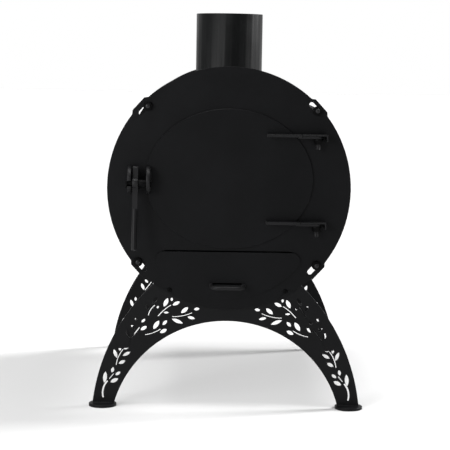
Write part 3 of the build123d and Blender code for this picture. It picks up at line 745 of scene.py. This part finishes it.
def drum_welds():
    """The drum's long seam, below, and the grate's ledges."""
    shell = Shell()
    seam_z = AXIS_Z - DRUM_R + 0.8 * MM
    seam = line((0, DRUM_LOW.y + 1 * MM, seam_z), (0, DRUM_HIGH.y - 1 * MM, seam_z))
    bead(shell, seam, facing(0, 0, -1), DRUM_BEAD)
    for hand, side in (("left", -1), ("right", 1)):
        low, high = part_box(f"grate_ledge_{hand}")
        x = side * math.sqrt(DRUM_INNER_R**2 - (AXIS_Z - low.z) ** 2)
        run = line((x, low.y + 5 * MM, low.z), (x, high.y - 5 * MM, low.z))
        bead(shell, run, facing(-side, 0, -1), DRUM_BEAD)
    shell.make("drum_welds", "stove_body", "drum_paint")


def foot_welds(end):
    """Both faces of a leg frame welded to its two foot pads."""
    shell = Shell()
    frame_low, frame_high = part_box(f"leg_frame_{end}")
    for hand, side in (("left", -1), ("right", 1)):
        pad_low, pad_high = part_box(f"foot_pad_{end}_{hand}")
        outer = side * (frame_high.x - 1.5 * MM)
        inner = (pad_low.x + pad_high.x) / 2 - side * 24 * MM
        for y, out in ((frame_low.y, -1), (frame_high.y, 1)):
            run = line((inner, y, pad_high.z), (outer, y, pad_high.z))
            bead(shell, run, facing(0, out, 1), FOOT_BEAD)
    shell.make(f"foot_welds_{end}", "stove_body", "leg_paint")


def bracket_welds(level):
    """A hinge bracket welded to the front plate, below its flange and beside its fold."""
    shell = Shell()
    low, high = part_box(f"hinge_bracket_{level}")
    under = high.z - 3 * MM
    run = line((low.x + 6 * MM, FRONT_Y, under), (high.x - 4 * MM, FRONT_Y, under))
    bead(shell, run, facing(0, -1, -1), SMALL_BEAD)
    run = line((high.x, FRONT_Y, low.z + 1 * MM), (high.x, FRONT_Y, high.z - 3 * MM))
    bead(shell, run, facing(1, -1, 0), SMALL_BEAD)
    shell.make(f"bracket_welds_{level}", "stove_body", "hinge_paint")


def strap_welds(level):
    """A hinge strap welded to the door, below and at its left end."""
    shell = Shell()
    low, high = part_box(f"hinge_strap_{level}")
    bracket_low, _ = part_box(f"hinge_bracket_{level}")
    face = DOOR_LOW.y
    bottom = high.z - 6 * MM
    path = [
        Vector((bracket_low.x - 4 * MM, face, bottom)),
        Vector((low.x, face, bottom)),
        Vector((low.x, face, high.z - 0.5 * MM)),
    ]
    bead(shell, path, facing(-0.5, -1, -1), SMALL_BEAD)
    shell.make(f"strap_welds_{level}", "door", "hinge_paint")


def latch_welds():
    """The keeper welded to the plate and the ear to the door, on both sides."""
    for name, face, body in (
        ("latch_keeper", FRONT_Y, "stove_body"),
        ("latch_ear", DOOR_LOW.y, "door"),
    ):
        shell = Shell()
        low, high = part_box(name)
        for x, side in ((low.x, -1), (high.x, 1)):
            run = line((x, face, low.z + 4 * MM), (x, face, high.z - 4 * MM))
            bead(shell, run, facing(side, -1, 0), SMALL_BEAD)
        shell.make(f"{name}_welds", body, "hinge_paint")


def handle_welds():
    """The drawer's handle welded to its front."""
    shell = Shell()
    low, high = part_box("drawer_handle")
    rod_r = (high.z - low.z) / 2
    for x in (low.x + rod_r, high.x - rod_r):
        centre = Vector((x, DRAWER_FACE_Y, (low.z + high.z) / 2))
        ring = []
        for i in range(HANDLE_STEPS):
            turn = TAU * i / HANDLE_STEPS
            ring.append(centre + rod_r * Vector((math.sin(turn), 0, math.cos(turn))))

        def out(place, centre=centre):
            return (place - centre).normalized() + Vector((0, -1, 0))

        bead(shell, ring, out, HANDLE_BEAD, closed=True)
    shell.make("handle_welds", "ash_drawer", "hinge_paint")


flue_welds()
drum_welds()
for end_name in ("front", "rear"):
    foot_welds(end_name)
for level_name in ("upper", "lower"):
    bracket_welds(level_name)
    strap_welds(level_name)
latch_welds()
handle_welds()


# ---------------------------------------------------------------- threaded rods and studs

THREAD_PITCH = 1.5 * MM
THREAD_DEPTH = 0.6 * MM
THREAD_SIDES = 24
THREAD_SAMPLES = 4  # rings to a pitch
ROD_THREAD = 38 * MM  # thread at each end of a tie rod
STUD_PLAIN = 7 * MM  # plain part of a hinge stud, below its bracket
END_TAPER = 0.8 * MM


def threaded_bar(start, end, radius, zones):
    """A round bar along a line, threaded within zones of its length."""
    length = (end - start).length
    along = (end - start).normalized()
    side = along.orthogonal().normalized()
    other = along.cross(side)
    stops = {0.0, length}
    for low, high in zones:
        steps = round((high - low) / THREAD_PITCH * THREAD_SAMPLES)
        stops.update(low + (high - low) * i / steps for i in range(steps + 1))
    rings = []
    for stop in sorted(stops):
        threaded = any(low < stop < high for low, high in zones)
        taper = max(0.0, END_TAPER - min(stop, length - stop))
        ring = []
        for k in range(THREAD_SIDES):
            turn = TAU * k / THREAD_SIDES
            phase = (stop / THREAD_PITCH - k / THREAD_SIDES) % 1.0
            reach = radius - taper
            if threaded:
                reach = min(reach, radius - THREAD_DEPTH * abs(2 * phase - 1))
            ring.append(
                start + along * stop + (side * math.cos(turn) + other * math.sin(turn)) * reach
            )
        rings.append(ring)
    shell = Shell()
    shell.sweep(rings)
    return shell


def tie_rod(number):
    """A tie rod threaded at both ends."""
    node = f"tie_rod_{number}"
    low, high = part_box(node)
    radius = (high.x - low.x) / 2
    x = (low.x + high.x) / 2
    z = (low.z + high.z) / 2
    length = high.y - low.y
    zones = [(0.0, ROD_THREAD), (length - ROD_THREAD, length)]
    shell = threaded_bar(Vector((x, low.y, z)), Vector((x, high.y, z)), radius, zones)
    piece = shell.make(f"threaded_{node}", "stove_body", "rod_steel")
    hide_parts(node)


def hinge_stud(level):
    """A hinge stud, plain in the strap and threaded below it."""
    node = f"hinge_stud_{level}"
    low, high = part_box(node)
    radius = (high.x - low.x) / 2
    x = (low.x + high.x) / 2
    y = (low.y + high.y) / 2
    length = high.z - low.z
    zones = [(STUD_PLAIN, length)]
    shell = threaded_bar(Vector((x, y, high.z)), Vector((x, y, low.z)), radius, zones)
    piece = shell.make(f"threaded_{node}", "stove_body", "rod_steel")
    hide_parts(node)


for rod_number in range(1, 5):
    tie_rod(rod_number)
for level_name in ("upper", "lower"):
    hinge_stud(level_name)
